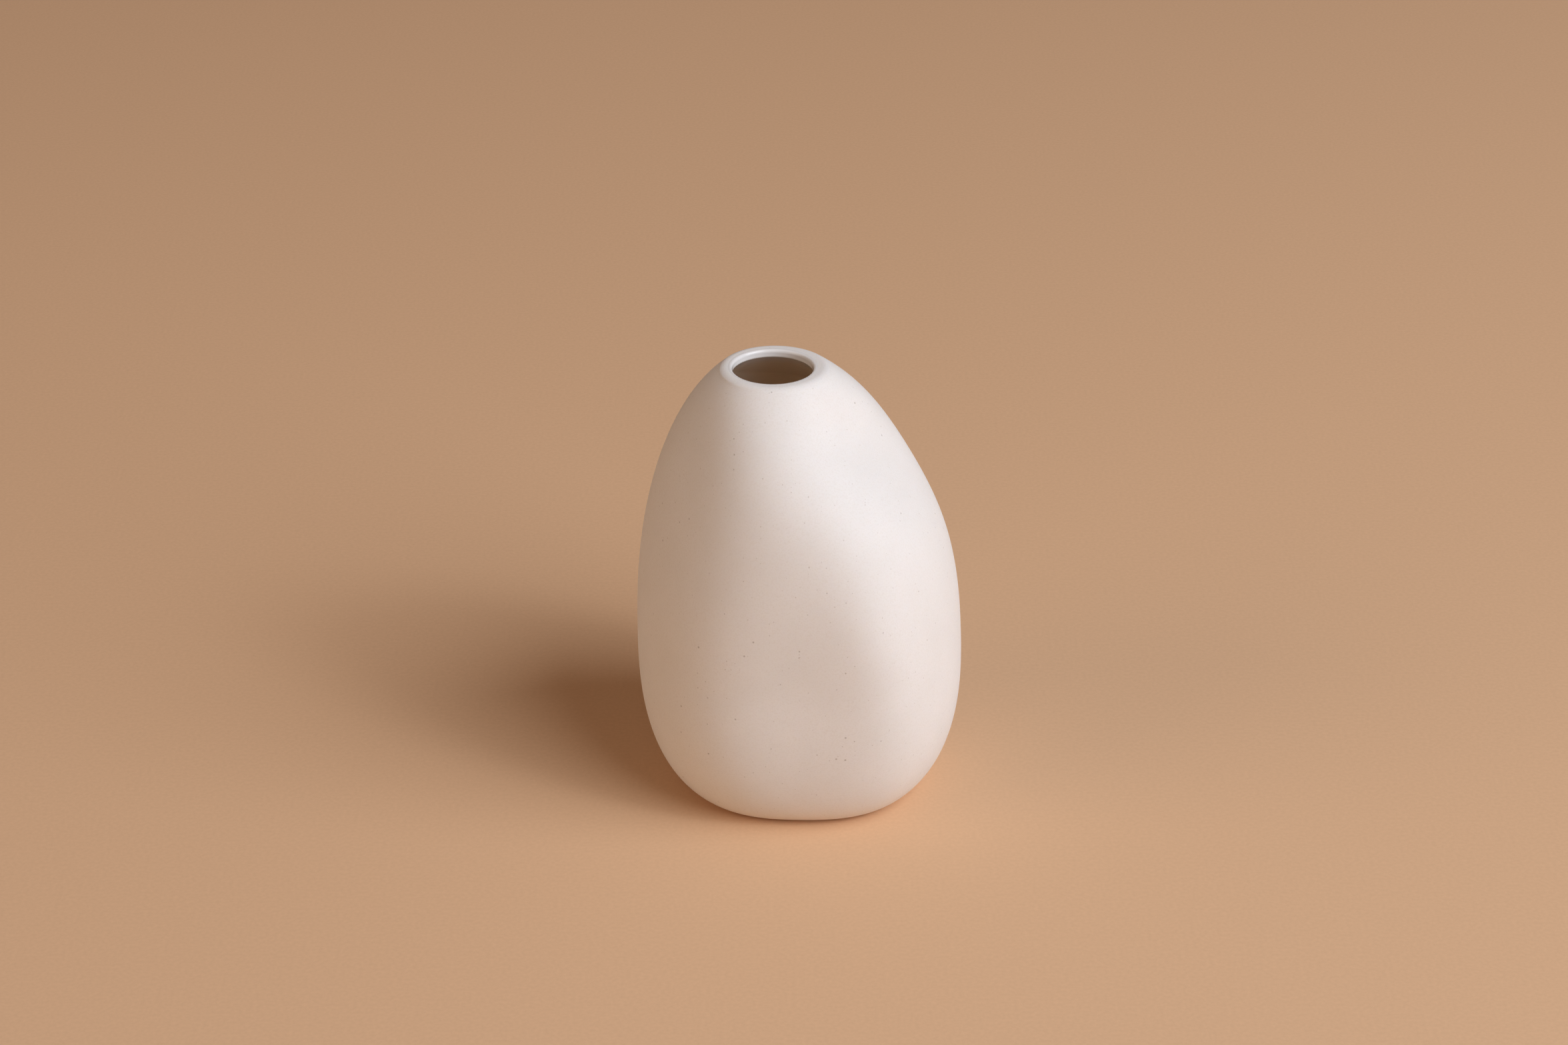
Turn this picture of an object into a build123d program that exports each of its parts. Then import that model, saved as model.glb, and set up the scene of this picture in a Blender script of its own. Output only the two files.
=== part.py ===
from build123d import *
from math import atan2, cos, exp, hypot, radians, sin
import os

# Ceramic bud vase: a slip-cast, egg-shaped bottle with softly pressed sides and a small round
# mouth. Its unglazed white body stands on a flat foot ring. A clear glaze lines the inside, from
# the floor up through the throat to the inner half of the lip.
# Millimetres. +Z is up, the foot rests on Z = 0, -Y is the front, and the origin is on the
# ground, under the middle of the vase's box.

os.makedirs("parts", exist_ok=True)

# Overall form
height = 120.0          # foot to lip
belly_radius = 44.1     # half width at the widest level, before the sides are pressed
belly_height = 45.6     # level of the widest section
belly_depth = 1.07      # depth of the belly over its width
foot_radius = 28.4      # half width of the foot
apex_above_lip = 6.3    # the egg would close this far above the mouth
shoulder_power, shoulder_root = 2.30, 1.50   # roundness of the egg above its belly
base_power, base_root = 2.73, 1.74           # and below it
axis_x, axis_y = 0.47, -1.13                 # where the egg's axis meets the ground
mouth_lean_x, mouth_lean_y = -7.0, -1.25     # how far the lip is from above that point
lean_power = 1.7        # the lean grows towards the top
round_power = 14.0      # how late the sections turn round towards the mouth

# The pressed sides: depth as a share of the radius, direction in degrees from +X, level, half
# spread in degrees, half spread in height, and drift of the direction in degrees per mm of height
presses = [
    (0.12, -91, 36, 28, 60, 0.0),       # front
    (0.34, -43, 113, 39, 20.5, -0.83),  # right shoulder
    (0.19, -146, 106, 47, 57, 0.0),     # left shoulder
    (-0.04, -60, 55, 14.5, 36, -0.15),  # soft ridge left standing between front and right
    (0.08, 80, 60, 42, 42, 0.0),        # back
]

# Walls, lip and foot
wall = 3.3
floor = 4.0
glaze = 0.3
cavity_corner = 8.0     # rounding between the inner wall and the floor
throat_radius = 10.8    # of the body, behind the glaze
hole_aside = -0.5       # the hole is this far off the lip's middle, towards +X
throat_length = 1.1     # straight length below the lip's rounding
neck_wall = 3.9         # most that the wall takes on the level, where the shoulder slopes
neck_flare = 1.2        # widening of the hollow below the throat, per mm
neck_overlap = 0.4      # the hollow narrows on by this much, so that it crosses the throat cleanly
throat_reach = 2.5      # and the throat's bore starts this far down inside the hollow
lip_inner_round = 0.9
lip_outer_round = 3.1
glaze_end_turn = 48     # the glaze ends where the lip has turned this many degrees from upright
dish_radius = 22.0      # hollow of the underside, inside the foot ring
dish_depth = 1.0

ring_points = 24
outer_levels = [0, 0.3, 0.9, 2, 4, 7, 12, 19, 28, 38, 48, 58, 68, 78, 87, 95, 102, 108, 113, 117, height]
throat_bottom = height - lip_inner_round - throat_length
hollow_top = throat_bottom + neck_overlap
hollow_levels = [floor, 6, 9, 13, 19, 28, 38, 48, 58, 68, 78, 86, 93, 99, 104, 108, 111, 113.5, 115.7, 117.3]


def egg_radius(z):
    """Half width of the plain egg at height z."""
    if z > belly_height:
        rise = (z - belly_height) / (height + apex_above_lip - belly_height)
        return belly_radius * (1 - rise**shoulder_power) ** (1 / shoulder_root)
    drop = (belly_height - z) / belly_height
    spread = (1 - drop**base_power) ** (1 / base_root)
    return foot_radius + (belly_radius - foot_radius) * spread


def centre(z):
    """Centre of the section at height z, on the axis that leans towards the mouth."""
    lean = (z / height) ** lean_power
    return axis_x + mouth_lean_x * lean, axis_y + mouth_lean_y * lean


def pressed_share(z, angle):
    """Share of the radius that the pressed sides take away."""
    share = 0
    for depth, direction, level, spread, tall, drift in presses:
        turn = (angle - direction - drift * (z - level) + 180) % 360 - 180
        share += depth * exp(-((turn / spread) ** 2) - ((z - level) / tall) ** 2)
    return share


def outer_radius(z, angle):
    """Distance from the leaning axis to the outside, in this direction."""
    roundness = (z / height) ** round_power
    across = egg_radius(z)
    deep = across * (belly_depth + (1 - belly_depth) * roundness)
    ellipse = 1 / hypot(cos(radians(angle)) / across, sin(radians(angle)) / deep)
    return ellipse * (1 - pressed_share(z, angle) * (1 - roundness))


def ring(z, inset):
    """Closed ring of points at height z, inset from the outside square to the wall."""
    step = 0.5
    rise = (egg_radius(min(z + step, height)) - egg_radius(max(z - step, 0))) / (2 * step)
    level_inset = min(inset * hypot(1, rise), inset - wall + neck_wall) if inset else 0
    x, y = centre(z)
    points = []
    for i in range(ring_points):
        angle = 360 * i / ring_points
        radius = outer_radius(z, angle) - level_inset
        points.append((x + radius * cos(radians(angle)), y + radius * sin(radians(angle))))
    return points


mouth_x = centre(height)[0] + hole_aside
mouth_y = centre(height)[1]


def hollow_ring(z, inset):
    """Ring of the hollow, inside the cone that narrows to the round throat."""
    cone = throat_radius - neck_overlap - (inset - wall) + neck_flare * (hollow_top - z)
    points = []
    for x, y in ring(z, inset):
        angle = atan2(y - mouth_y, x - mouth_x)
        radius = min(hypot(x - mouth_x, y - mouth_y), cone)
        points.append((mouth_x + radius * cos(angle), mouth_y + radius * sin(angle)))
    return points


def lofted(levels, ring_at, inset):
    """Solid that runs smoothly through a ring at each level."""
    with BuildPart() as solid:
        for level in levels:
            with BuildSketch(Plane.XY.offset(level)):
                with BuildLine():
                    Spline(*ring_at(level, inset), periodic=True)
                make_face()
        loft()
    return solid.part


mouth_plane = Plane((mouth_x, mouth_y, 0), x_dir=(1, 0, 0), z_dir=(0, -1, 0))
mouth_axis = Axis((mouth_x, mouth_y, 0), (0, 0, 1))
lip_centre = throat_radius + lip_inner_round, height - lip_inner_round
bore_start = throat_bottom - throat_reach


def hollow(inset):
    """Everything inside the vase, out through the throat and the rounding of the lip."""
    skin = inset - wall
    levels = [floor + skin] + hollow_levels[1:] + [hollow_top]
    radius, rounding = throat_radius - skin, lip_inner_round + skin
    with BuildPart() as space:
        add(lofted(levels, hollow_ring, inset))
        fillet(space.edges().group_by(Axis.Z)[0], cavity_corner - skin)
        with BuildSketch(mouth_plane):
            with BuildLine():
                Polyline((0, height + skin), (0, bore_start), (radius, bore_start), (radius, lip_centre[1]))
                RadiusArc((radius, lip_centre[1]), (lip_centre[0], height + skin), rounding)
                Line((lip_centre[0], height + skin), (0, height + skin))
            make_face()
        revolve(axis=mouth_axis)
    return space.part


body_hollow = hollow(wall)
glazed_hollow = hollow(wall + glaze)

with BuildPart() as vase_body:
    add(lofted(outer_levels, ring, 0))
    fillet(vase_body.edges().group_by(Axis.Z)[-1], lip_outer_round)
    add(body_hollow, mode=Mode.SUBTRACT)
    with BuildSketch(Plane((axis_x, axis_y, 0), x_dir=(1, 0, 0), z_dir=(0, -1, 0))):
        with BuildLine():
            Polyline((0, dish_depth), (0, 0), (dish_radius, 0))
            RadiusArc((dish_radius, 0), (0, dish_depth), -(dish_radius**2 + dish_depth**2) / (2 * dish_depth))
        make_face()
    revolve(axis=Axis((axis_x, axis_y, 0), (0, 0, 1)), mode=Mode.SUBTRACT)

with BuildPart() as glaze_lining:
    add(body_hollow)
    add(glazed_hollow, mode=Mode.SUBTRACT)
    # the glaze stops short of the lip's flat, on a line through the centre of the rounding
    reach = 3 * lip_inner_round
    end = radians(180 - glaze_end_turn)
    with BuildSketch(mouth_plane):
        with BuildLine():
            Polyline(lip_centre, (lip_centre[0], height + reach),
                     (lip_centre[0] + reach * cos(end), height + reach),
                     (lip_centre[0] + reach * cos(end), lip_centre[1] + reach * sin(end)), close=True)
        make_face()
    revolve(axis=mouth_axis, mode=Mode.SUBTRACT)

for piece, name in [(vase_body, "vase_body"), (glaze_lining, "glaze_lining")]:
    piece.part.label = name
    export_step(piece.part, f"parts/{name}.step")
    box = piece.part.bounding_box()
    print(name, len(piece.part.solids()), piece.part.is_valid, round(piece.part.volume), box)
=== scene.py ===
import math
import bpy
import numpy as np
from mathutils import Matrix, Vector


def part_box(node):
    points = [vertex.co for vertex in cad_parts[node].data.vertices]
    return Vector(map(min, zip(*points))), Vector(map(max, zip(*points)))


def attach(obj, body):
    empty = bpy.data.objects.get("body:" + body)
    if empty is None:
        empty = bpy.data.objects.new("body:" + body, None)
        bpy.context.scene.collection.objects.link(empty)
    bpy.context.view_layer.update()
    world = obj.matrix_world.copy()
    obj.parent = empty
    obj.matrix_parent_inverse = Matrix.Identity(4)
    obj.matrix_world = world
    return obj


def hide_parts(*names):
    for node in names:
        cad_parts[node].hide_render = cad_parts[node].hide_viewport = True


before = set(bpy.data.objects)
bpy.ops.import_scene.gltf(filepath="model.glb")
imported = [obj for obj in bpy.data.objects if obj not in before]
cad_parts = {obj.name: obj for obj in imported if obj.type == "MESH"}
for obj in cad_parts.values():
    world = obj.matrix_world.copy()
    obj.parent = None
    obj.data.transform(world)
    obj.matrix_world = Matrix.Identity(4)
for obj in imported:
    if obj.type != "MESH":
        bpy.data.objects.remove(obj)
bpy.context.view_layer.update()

# Ceramic bud vase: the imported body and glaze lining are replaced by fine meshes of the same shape,
# with a matt bisque outside and a gloss glaze inside. Sizes are in millimetres, as in the design,
# and meshes are made in metres.
MM = 0.001

# ---------------------------------------------------------------- the vase's shape
HEIGHT = 120.0
BELLY_RADIUS, BELLY_HEIGHT, BELLY_DEPTH = 44.1, 45.6, 1.07
FOOT_RADIUS = 28.4
APEX_ABOVE_LIP = 6.3
SHOULDER_POWER, SHOULDER_ROOT = 2.30, 1.50
BASE_POWER, BASE_ROOT = 2.73, 1.74
AXIS = np.array([0.47, -1.13])
MOUTH_LEAN = np.array([-7.0, -1.25])
LEAN_POWER = 1.7
ROUND_POWER = 14.0
# depth share, direction in degrees from +X, level, half spreads in degrees and mm, drift per mm
PRESSES = [
    (0.12, -91, 36, 28, 60, 0.0),
    (0.34, -43, 113, 39, 20.5, -0.83),
    (0.19, -146, 106, 47, 57, 0.0),
    (-0.04, -60, 55, 14.5, 36, -0.15),
    (0.08, 80, 60, 42, 42, 0.0),
]

WALL, FLOOR, GLAZE = 3.3, 4.0, 0.3
THROAT_RADIUS, THROAT_LENGTH, THROAT_REACH = 10.8, 1.1, 2.5
HOLE_ASIDE = np.array([-0.5, 0.0])      # of the lip's middle
NECK_WALL, NECK_FLARE, NECK_OVERLAP = 3.9, 1.2, 0.4
LIP_INNER_ROUND, LIP_OUTER_ROUND = 0.9, 3.1
DISH_RADIUS, DISH_DEPTH = 22.0, 1.0
CORNER_HEIGHT, CORNER_PULL = 6.0, 3.0   # rounding of the hollow's bottom corner
GLAZE_EDGE, GLAZE_FULL = 98.0, 150.0    # on the lip's rounding, where the glaze starts and is whole
GLAZE_LEAST = 0.004                     # what it has left at its edge

# how finely the meshes are divided
COLUMNS = 240
DISH_ROWS, FOOT_ROWS = 13, 5
WALL_ROWS, LIP_ROWS = 200, 12
INNER_LIP_ROWS, GLAZE_LIP_ROWS = 16, 20
HOLLOW_ROWS, FLOOR_ROWS = 160, 12
CLOSE_ROWS = 12                         # rows just above the foot that stand closer together
EVENNESS = 0.65                         # the rest of the spacing grows with height
ANGLES = np.arange(COLUMNS) * 2 * math.pi / COLUMNS


def egg_radius(z):
    """Half width of the plain egg at height z."""
    rise = np.clip((z - BELLY_HEIGHT) / (HEIGHT + APEX_ABOVE_LIP - BELLY_HEIGHT), 0, 1)
    upper = BELLY_RADIUS * (1 - rise**SHOULDER_POWER) ** (1 / SHOULDER_ROOT)
    drop = np.clip((BELLY_HEIGHT - z) / BELLY_HEIGHT, 0, 1)
    lower = FOOT_RADIUS + (BELLY_RADIUS - FOOT_RADIUS) * (1 - drop**BASE_POWER) ** (1 / BASE_ROOT)
    return np.where(z > BELLY_HEIGHT, upper, lower)


def pressed_share(z):
    """Share of the radius that the pressed sides take away, for each column."""
    share = 0
    for depth, direction, level, spread, tall, drift in PRESSES:
        turn = (np.degrees(ANGLES) - direction - drift * (z - level) + 180) % 360 - 180
        share = share + depth * np.exp(-((turn / spread) ** 2) - ((z - level) / tall) ** 2)
    return share


def outer_radius(z):
    """Distance from the leaning axis to the outside, for each column; z may differ by column."""
    roundness = (z / HEIGHT) ** ROUND_POWER
    across = egg_radius(z)
    deep = across * (BELLY_DEPTH + (1 - BELLY_DEPTH) * roundness)
    ellipse = 1 / np.hypot(np.cos(ANGLES) / across, np.sin(ANGLES) / deep)
    return ellipse * (1 - pressed_share(z) * (1 - roundness))


def throat_distance(z, radius):
    """Distance from the leaning axis to a circle of this radius round the hole's upright axis."""
    aside = MOUTH_LEAN * (1 - (z / HEIGHT) ** LEAN_POWER) + HOLE_ASIDE
    along = aside[0] * np.cos(ANGLES) + aside[1] * np.sin(ANGLES)
    return along + np.sqrt(radius**2 - aside @ aside + along**2)


def hollow_radius(z, inset):
    """Distance from the leaning axis to a surface this far inside the outer one, at height z."""
    step = 0.5
    slope = (egg_radius(min(z + step, HEIGHT)) - egg_radius(max(z - step, 0))) / (2 * step)
    throat = THROAT_RADIUS - inset + WALL
    corner = np.clip(1 - (z - FLOOR - inset + WALL) / CORNER_HEIGHT, 0, 1)
    level_inset = min(inset * np.hypot(1, slope), NECK_WALL + inset - WALL)
    radius = outer_radius(z) - level_inset - CORNER_PULL * (1 - np.sqrt(1 - corner**2))
    below = HEIGHT - LIP_INNER_ROUND - THROAT_LENGTH + NECK_OVERLAP - z
    cone = throat - NECK_OVERLAP + NECK_FLARE * max(below, 0)
    radius = np.minimum(radius, throat_distance(z, cone))
    return np.maximum(radius, throat_distance(z, throat)) if below < THROAT_REACH else radius


def ring(radius, z):
    """One row of points: radius and z are numbers or one value per column."""
    z = np.broadcast_to(np.asarray(z, float), ANGLES.shape)
    lean = (z[:, None] / HEIGHT) ** LEAN_POWER
    middle = AXIS + MOUTH_LEAN * lean
    x = middle[:, 0] + radius * np.cos(ANGLES)
    y = middle[:, 1] + radius * np.sin(ANGLES)
    return np.stack([x, y, z], 1) * MM


def mouth_ring(radius, z, aside=HOLE_ASIDE):
    """One row of points round the hole's own upright axis."""
    middle = AXIS + MOUTH_LEAN + aside
    x = middle[0] + radius * np.cos(ANGLES)
    y = middle[1] + radius * np.sin(ANGLES)
    return np.stack([x, y, np.broadcast_to(np.asarray(z, float), ANGLES.shape)], 1) * MM


def underside_rows():
    """The dished underside and the foot ring, from the middle out."""
    rows = [ring(DISH_RADIUS * s, DISH_DEPTH * (1 - s * s)) for s in np.linspace(0, 1, DISH_ROWS + 1)[1:]]
    foot = outer_radius(np.full(COLUMNS, 0.0))
    rows += [ring(DISH_RADIUS + (foot - DISH_RADIUS) * s, 0) for s in np.linspace(0, 1, FOOT_ROWS + 1)[1:]]
    return rows


def outside_rows():
    """The outside, from just above the foot to the crest of the lip."""
    step = 1.0
    full = np.full(COLUMNS, HEIGHT)
    top_radius = outer_radius(full)
    slope = (outer_radius(full - step) - top_radius) / step
    normal_turn = np.arctan(slope)
    arc_radius = top_radius + LIP_OUTER_ROUND * (slope - np.hypot(1, slope))
    meet = HEIGHT - LIP_OUTER_ROUND * (1 - np.sin(normal_turn))
    rows = []
    for i in range(1, WALL_ROWS + 1):
        part = i / WALL_ROWS
        share = part**2 * (1 - EVENNESS) + part * EVENNESS
        z = meet * share * min(i / CLOSE_ROWS, 1)
        rows.append(ring(outer_radius(z), z))
    for s in np.linspace(0, 1, LIP_ROWS)[1:]:
        turn = normal_turn + (math.pi / 2 - normal_turn) * s
        radius = arc_radius + LIP_OUTER_ROUND * np.cos(turn)
        rows.append(mouth_ring(radius, HEIGHT - LIP_OUTER_ROUND * (1 - np.sin(turn)), 0))
    return rows


def lip_arc(thickness, start, steps):
    """The lip's inner rounding, from the crest side down to the throat, under this much glaze."""
    rows = []
    for turn in np.radians(np.linspace(start, 180, steps)):
        radius = LIP_INNER_ROUND + thickness(math.degrees(turn))
        rows.append(mouth_ring(THROAT_RADIUS + LIP_INNER_ROUND + radius * math.cos(turn),
                               HEIGHT - LIP_INNER_ROUND + radius * math.sin(turn)))
    return rows


def hollow_rows(inset):
    """Throat, wall and floor of the hollow at this inset, from the lip's rounding down to the middle."""
    top, bottom = HEIGHT - LIP_INNER_ROUND, FLOOR + inset - WALL
    rows = []
    for s in np.linspace(0, 1, HOLLOW_ROWS)[1:]:
        z = top + (bottom - top) * s * s * (3 - 2 * s)   # rows are close together at both ends
        rows.append(ring(hollow_radius(z, inset), z))
    edge = hollow_radius(bottom, inset)
    rows += [ring(edge * (1 - s), bottom) for s in np.linspace(0, 1, FLOOR_ROWS)[1:-1]]
    return rows, ring(0, bottom)[:1]


def shell(name, first, rows, last):
    """A closed mesh from a first point, rows of points and a last point."""
    points = np.concatenate([first, *rows, last])
    faces = []
    nxt = [(i + 1) % COLUMNS for i in range(COLUMNS)]
    for i in range(COLUMNS):
        faces.append((0, 1 + nxt[i], 1 + i))
    for r in range(len(rows) - 1):
        a, b = 1 + r * COLUMNS, 1 + (r + 1) * COLUMNS
        for i in range(COLUMNS):
            faces.append((a + i, a + nxt[i], b + nxt[i], b + i))
    end, tip = 1 + (len(rows) - 1) * COLUMNS, len(points) - 1
    for i in range(COLUMNS):
        faces.append((end + i, end + nxt[i], tip))
    mesh = bpy.data.meshes.new(name)
    mesh.from_pydata(points.tolist(), [], faces)
    mesh.shade_smooth()
    mesh.validate()
    piece = bpy.data.objects.new(name, mesh)
    bpy.context.scene.collection.objects.link(piece)
    return piece


def no_glaze(turn):
    return 0.0


def glaze_thickness(turn):
    """Grows smoothly over the lip's rounding, from its edge to the whole thickness."""
    share = min(max((turn - GLAZE_EDGE) / (GLAZE_FULL - GLAZE_EDGE), 0), 1)
    return GLAZE * share * share * (3 - 2 * share) + GLAZE_LEAST


def make_body():
    inside, floor_middle = hollow_rows(WALL)
    rows = underside_rows() + outside_rows() + lip_arc(no_glaze, 90, INNER_LIP_ROWS) + inside
    return shell("bisque_body", ring(0, DISH_DEPTH)[:1], rows, floor_middle)


def make_lining():
    """The glaze: its skin against the clay, then round the lip's edge and down its open side."""
    behind, floor_behind = hollow_rows(WALL)
    front, floor_front = hollow_rows(WALL + GLAZE)
    rows = (lip_arc(no_glaze, GLAZE_EDGE, GLAZE_LIP_ROWS) + behind)[::-1]
    rows += lip_arc(glaze_thickness, GLAZE_EDGE, GLAZE_LIP_ROWS) + front
    return shell("inner_glaze_lining", floor_behind, rows, floor_front)


# ---------------------------------------------------------------- materials
def new_material(name):
    material = bpy.data.materials.new(name)
    material.use_nodes = True
    tree = material.node_tree
    tree.nodes.clear()
    output = tree.nodes.new("ShaderNodeOutputMaterial")
    shader = tree.nodes.new("ShaderNodeBsdfPrincipled")
    tree.links.new(shader.outputs[0], output.inputs["Surface"])
    return material, tree, shader


def node(tree, kind, values=None, **settings):
    made = tree.nodes.new(kind)
    for key, value in settings.items():
        setattr(made, key, value)
    for key, value in (values or {}).items():
        made.inputs[key].default_value = value
    return made


def noise(tree, where, scale, detail=2.0, roughness=0.5):
    made = node(tree, "ShaderNodeTexNoise", {"Scale": scale, "Detail": detail, "Roughness": roughness})
    tree.links.new(where, made.inputs["Vector"])
    return made.outputs["Fac"]


def spread(tree, value, low, high, start=0.0, end=1.0):
    made = node(tree, "ShaderNodeMapRange",
                {"From Min": start, "From Max": end, "To Min": low, "To Max": high})
    tree.links.new(value, made.inputs["Value"])
    return made.outputs["Result"]


def mix(tree, share, first, second):
    """The first colour, with this share of the second. Each is a value or a node's output."""
    made = node(tree, "ShaderNodeMix", data_type="RGBA")
    for name, value in {"Factor": share, "A": first, "B": second}.items():
        socket = made.inputs[name]
        if isinstance(value, bpy.types.NodeSocket):
            tree.links.new(value, socket)
        else:
            socket.default_value = value
    return made.outputs["Result"]


def specks(tree, where, per_metre, share, radius):
    """Scattered dots: 1 inside a dot, 0 elsewhere. radius is in metres, share the cells that hold one."""
    cells = node(tree, "ShaderNodeTexVoronoi", {"Scale": per_metre, "Randomness": 1.0})
    tree.links.new(where, cells.inputs["Vector"])
    split = node(tree, "ShaderNodeSeparateColor")
    tree.links.new(cells.outputs["Color"], split.inputs["Color"])
    size = spread(tree, split.outputs["Red"], 0.0, radius * per_metre, 1 - share, 1.0)
    within = node(tree, "ShaderNodeMath", operation="SUBTRACT")
    tree.links.new(size, within.inputs[0])
    tree.links.new(cells.outputs["Distance"], within.inputs[1])
    return spread(tree, within.outputs[0], 0.0, 1.0, 0.0, 0.4 * radius * per_metre)


def bisque():
    """Matt white bisque: faint mottling, fine grain, and many faint and a few darker tiny specks."""
    material, tree, shader = new_material("bisque")
    where = node(tree, "ShaderNodeTexCoord").outputs["Object"]
    mottle = spread(tree, noise(tree, where, 45, 4, 0.55), 0.0, 1.0, 0.3, 0.7)
    base = mix(tree, mottle, (0.80, 0.785, 0.765, 1), (0.84, 0.825, 0.81, 1))
    grain = spread(tree, noise(tree, where, 2200, 2), 0.0, 0.35, 0.45, 0.75)
    base = mix(tree, grain, base, (0.72, 0.68, 0.63, 1))
    fine = specks(tree, where, 900, 0.35, 0.00022)
    base = mix(tree, spread(tree, fine, 0.0, 0.4), base, (0.40, 0.34, 0.29, 1))
    dark = specks(tree, where, 420, 0.40, 0.00034)
    base = mix(tree, spread(tree, dark, 0.0, 0.5), base, (0.30, 0.25, 0.21, 1))
    tree.links.new(base, shader.inputs["Base Color"])
    rough = spread(tree, noise(tree, where, 900, 3), 0.62, 0.78, 0.3, 0.7)
    tree.links.new(rough, shader.inputs["Roughness"])
    shader.inputs["IOR"].default_value = 1.45
    shader.inputs["Specular IOR Level"].default_value = 0.35
    shader.inputs["Subsurface Weight"].default_value = 0.12
    shader.inputs["Subsurface Radius"].default_value = (0.0012, 0.0008, 0.0005)
    shader.inputs["Subsurface Scale"].default_value = 1.0
    bump = node(tree, "ShaderNodeBump", {"Strength": 0.35, "Distance": 0.00004})
    tree.links.new(noise(tree, where, 3200, 3, 0.6), bump.inputs["Height"])
    tree.links.new(bump.outputs["Normal"], shader.inputs["Normal"])
    return material


def inner_glaze():
    """Clear gloss glaze over clay, clay-white at the lip, with painted warm light deeper in the hollow,
    slightly rippled.
    """
    material, tree, shader = new_material("inner_glaze")
    where = node(tree, "ShaderNodeTexCoord").outputs["Object"]
    tone = spread(tree, noise(tree, where, 60, 3), 0.0, 1.0, 0.3, 0.7)
    # painted light: this warm, bright colour stands in for warm light glowing inside the hollow; the
    # glaze's own colour is the clay-white used at the lip
    deep = mix(tree, tone, (0.975, 0.89, 0.75, 1), (0.985, 0.91, 0.78, 1))
    height = node(tree, "ShaderNodeSeparateXYZ")
    tree.links.new(where, height.inputs[0])
    # share of the painted warm light: whole from 6 mm below the crest down, none in the top 1 mm, where
    # the glaze shows its clay-white
    painted_glow_share = spread(tree, height.outputs["Z"], 1.0, 0.0, (HEIGHT - 6) * MM, (HEIGHT - 1) * MM)
    base = mix(tree, painted_glow_share, (0.83, 0.82, 0.81, 1), deep)
    dark = specks(tree, where, 420, 0.30, 0.00030)
    base = mix(tree, spread(tree, dark, 0.0, 0.5), base, (0.32, 0.26, 0.21, 1))
    tree.links.new(base, shader.inputs["Base Color"])
    tree.links.new(spread(tree, noise(tree, where, 300, 2), 0.06, 0.12), shader.inputs["Roughness"])
    shader.inputs["IOR"].default_value = 1.5
    bump = node(tree, "ShaderNodeBump", {"Strength": 0.2, "Distance": 0.0001})
    tree.links.new(noise(tree, where, 500, 1), bump.inputs["Height"])
    tree.links.new(bump.outputs["Normal"], shader.inputs["Normal"])
    return material


def floor_paper():
    """Plain warm tan paper with a fine grain."""
    material, tree, shader = new_material("floor_paper")
    where = node(tree, "ShaderNodeTexCoord").outputs["Object"]
    grain = spread(tree, noise(tree, where, 900, 3), 0.0, 1.0, 0.3, 0.7)
    base = mix(tree, grain, (0.72, 0.465, 0.28, 1), (0.76, 0.495, 0.30, 1))
    tree.links.new(base, shader.inputs["Base Color"])
    shader.inputs["Roughness"].default_value = 0.9
    shader.inputs["Specular IOR Level"].default_value = 0.2
    return material


# ---------------------------------------------------------------- stage, light and camera
def make_floor():
    half = 8.0      # metres
    corners = [(-half, -half, 0), (half, -half, 0), (half, half, 0), (-half, half, 0)]
    mesh = bpy.data.meshes.new("floor")
    mesh.from_pydata(corners, [], [(0, 1, 2, 3)])
    mesh.materials.append(floor_paper())
    floor = bpy.data.objects.new("floor", mesh)
    bpy.context.scene.collection.objects.link(floor)


def direction(azimuth, elevation):
    """Unit vector towards a light or camera: azimuth 0 is the front (-Y), 90 is the right (+X)."""
    a, e = math.radians(azimuth), math.radians(elevation)
    return Vector((math.sin(a) * math.cos(e), -math.cos(a) * math.cos(e), math.sin(e)))


def soft_light(name, azimuth, elevation, distance, size, power, colour):
    light = bpy.data.lights.new(name, "AREA")
    light.shape, light.size = "DISK", size
    light.energy, light.color = power, colour
    lamp = bpy.data.objects.new(name, light)
    bpy.context.scene.collection.objects.link(lamp)
    towards = direction(azimuth, elevation)
    lamp.location = MIDDLE + towards * distance
    lamp.rotation_euler = towards.to_track_quat("Z", "Y").to_euler()


def sky(colour, strength):
    world = bpy.data.worlds.new("studio")
    world.use_nodes = True
    bpy.context.scene.world = world
    background = world.node_tree.nodes["Background"]
    background.inputs["Color"].default_value = (*colour, 1)
    background.inputs["Strength"].default_value = strength


def make_camera(aim, elevation, distance):
    """An 85 mm lens that looks down at the vase from the front. aim is in millimetres."""
    camera = bpy.data.cameras.new("camera")
    camera.lens, camera.sensor_width = 85.0, 36.0
    view = bpy.data.objects.new("camera", camera)
    bpy.context.scene.collection.objects.link(view)
    towards = direction(0, elevation)
    view.location = Vector(aim) * MM + towards * distance
    view.rotation_euler = towards.to_track_quat("Z", "Y").to_euler()
    bpy.context.scene.camera = view


low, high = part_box("vase_body")
MIDDLE = (low + high) / 2

for piece, replaced, slot, material in (
    (make_body(), "vase_body", "bisque", bisque()),
    (make_lining(), "glaze_lining", "inner_glaze", inner_glaze()),
):
    piece.data.materials.append(material)
    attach(piece, "root")
    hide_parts(replaced)

make_floor()
soft_light("key", 57, 38, 2.6, 2.6, 67, (0.90, 0.935, 1.0))
soft_light("window", 57, 38, 2.6, 0.5, 8, (0.90, 0.935, 1.0))
soft_light("fill", -65, 24, 2.2, 1.5, 9.8, (1.0, 0.79, 0.62))
sky((1.0, 0.65, 0.46), 0.145)
make_camera((-4.10, -1.13, 74.17), 26.7, 0.9793)
bpy.context.scene.view_settings.view_transform = "Standard"
bpy.context.scene.cycles.max_bounces = 32       # light finds its way down the narrow mouth
bpy.context.scene.cycles.diffuse_bounces = 32
